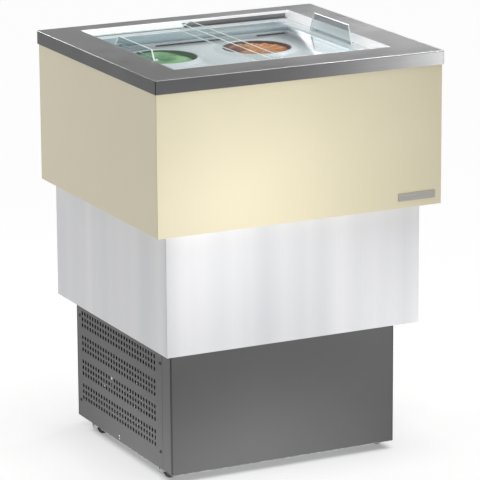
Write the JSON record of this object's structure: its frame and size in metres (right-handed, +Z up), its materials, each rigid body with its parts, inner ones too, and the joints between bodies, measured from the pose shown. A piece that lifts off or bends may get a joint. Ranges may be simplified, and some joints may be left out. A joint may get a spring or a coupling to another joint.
{
  "type": "ice cream dipping cabinet",
  "caption": "Stepped dipping cabinet with a stainless worktop, sliding clear lids over flavour tubs, a refrigeration set in a perforated base, and wheels.",
  "frame": {"origin": "on the floor, under the middle of the worktop", "axes": "+Z up, -Y towards the customers' side, +Y the operator's side, +X to the right seen from the customers' side"},
  "size_m": [0.8, 0.726, 1.093],
  "materials": {
    "stainless": "satin",
    "white_plastic": "satin",
    "channel_metal": "satin",
    "lid_glass": "polished",
    "clear_acrylic": "polished",
    "plate_plastic": "satin",
    "liner_steel": "satin",
    "copper": "satin",
    "insulation": "matte",
    "cream_paint": "satin",
    "badge_metal": "satin",
    "white_paint": "satin",
    "grey_paint": "satin",
    "frame_paint": "matte",
    "zinc": "satin",
    "black_enamel": "gloss",
    "fin_aluminium": "satin",
    "black_plastic": "matte",
    "button_metal": "satin",
    "tub_plastic": "satin",
    "pistachio": "matte",
    "caramel": "matte",
    "strawberry": "matte",
    "vanilla": "matte",
    "wheel_rubber": "matte"
  },
  "bodies": {
    "cabinet": {"worktop": "stainless", "lid_frame": "white_plastic", "lid_channel_rear": "channel_metal", "lid_channel_front": "channel_metal", "tub_plate": "plate_plastic", "tub_shelf": "liner_steel", "well_liner": "liner_steel", "evaporator_coil": "copper", "foam_insulation": "insulation", "upper_front": "cream_paint", "upper_left": "cream_paint", "upper_right": "cream_paint", "upper_rear": "cream_paint", "badge_plate": "badge_metal", "middle_front": "white_paint", "middle_left": "white_paint", "middle_right": "white_paint", "middle_rear": "white_paint", "base_front": "grey_paint", "base_left": "grey_paint", "base_right": "grey_paint", "base_rear": "grey_paint", "base_frame": "frame_paint", "base_tray": "zinc", "compressor": "black_enamel", "condenser": "fin_aluminium", "fan_shroud": "frame_paint", "fan_motor": "black_enamel", "filter_drier": "copper", "liquid_pipe": "copper", "suction_pipe": "copper", "electrical_box": "black_plastic", "controller_panel": "black_plastic", "cable_gland": "black_plastic", "tub_rear_left": "tub_plastic", "tub_rear_right": "tub_plastic", "tub_front_left": "tub_plastic", "tub_front_right": "tub_plastic", "ice_cream_rear_left": "pistachio", "ice_cream_rear_right": "caramel", "ice_cream_front_left": "strawberry", "ice_cream_front_right": "vanilla", "caster_bracket_front_left": "zinc", "caster_bracket_rear_left": "zinc", "caster_bracket_front_right": "zinc", "caster_bracket_rear_right": "zinc"},
    "upper_lid": {"upper_lid": "lid_glass", "upper_lid_strip_rear": "white_plastic", "upper_lid_strip_front": "white_plastic", "upper_lid_handle": "clear_acrylic"},
    "lower_lid": {"lower_lid": "lid_glass", "lower_lid_handle": "clear_acrylic"},
    "fan": {"fan_blades": "fin_aluminium"},
    "button_up": {"button_up": "button_metal"},
    "button_down": {"button_down": "button_metal"},
    "power_switch": {"power_switch": "black_plastic"},
    "wheel_front_left": {"caster_wheel_front_left": "wheel_rubber"},
    "wheel_rear_left": {"caster_wheel_rear_left": "wheel_rubber"},
    "wheel_front_right": {"caster_wheel_front_right": "wheel_rubber"},
    "wheel_rear_right": {"caster_wheel_rear_right": "wheel_rubber"}
  },
  "joints": [
    {"name": "upper_lid_slide", "type": "slide", "parent": "cabinet", "child": "upper_lid", "axis": [1, 0, 0], "range_m": [0, 0.266]},
    {"name": "lower_lid_slide", "type": "slide", "parent": "cabinet", "child": "lower_lid", "axis": [1, 0, 0], "range_m": [-0.266, 0]},
    {"name": "fan_spin", "type": "hinge", "parent": "cabinet", "child": "fan", "pos_m": [-0.2, 0.02, 0.185], "axis": [1, 0, 0], "continuous": true},
    {"name": "button_up_press", "type": "slide", "parent": "cabinet", "child": "button_up", "axis": [0, -1, 0], "range_m": [0, 0.0015], "stiffness_N_per_m": 400},
    {"name": "button_down_press", "type": "slide", "parent": "cabinet", "child": "button_down", "axis": [0, -1, 0], "range_m": [0, 0.0015], "stiffness_N_per_m": 400},
    {"name": "power_switch_rock", "type": "hinge", "parent": "cabinet", "child": "power_switch", "pos_m": [0.181, 0.329, 0.292], "axis": [1, 0, 0], "range_deg": [0, 16]},
    {"name": "wheel_front_left_roll", "type": "hinge", "parent": "cabinet", "child": "wheel_front_left", "pos_m": [-0.298, -0.201, 0.025], "axis": [1, 0, 0], "continuous": true},
    {"name": "wheel_rear_left_roll", "type": "hinge", "parent": "cabinet", "child": "wheel_rear_left", "pos_m": [-0.298, 0.212, 0.025], "axis": [1, 0, 0], "continuous": true},
    {"name": "wheel_front_right_roll", "type": "hinge", "parent": "cabinet", "child": "wheel_front_right", "pos_m": [0.298, -0.201, 0.025], "axis": [1, 0, 0], "continuous": true},
    {"name": "wheel_rear_right_roll", "type": "hinge", "parent": "cabinet", "child": "wheel_rear_right", "pos_m": [0.298, 0.212, 0.025], "axis": [1, 0, 0], "continuous": true}
  ]
}
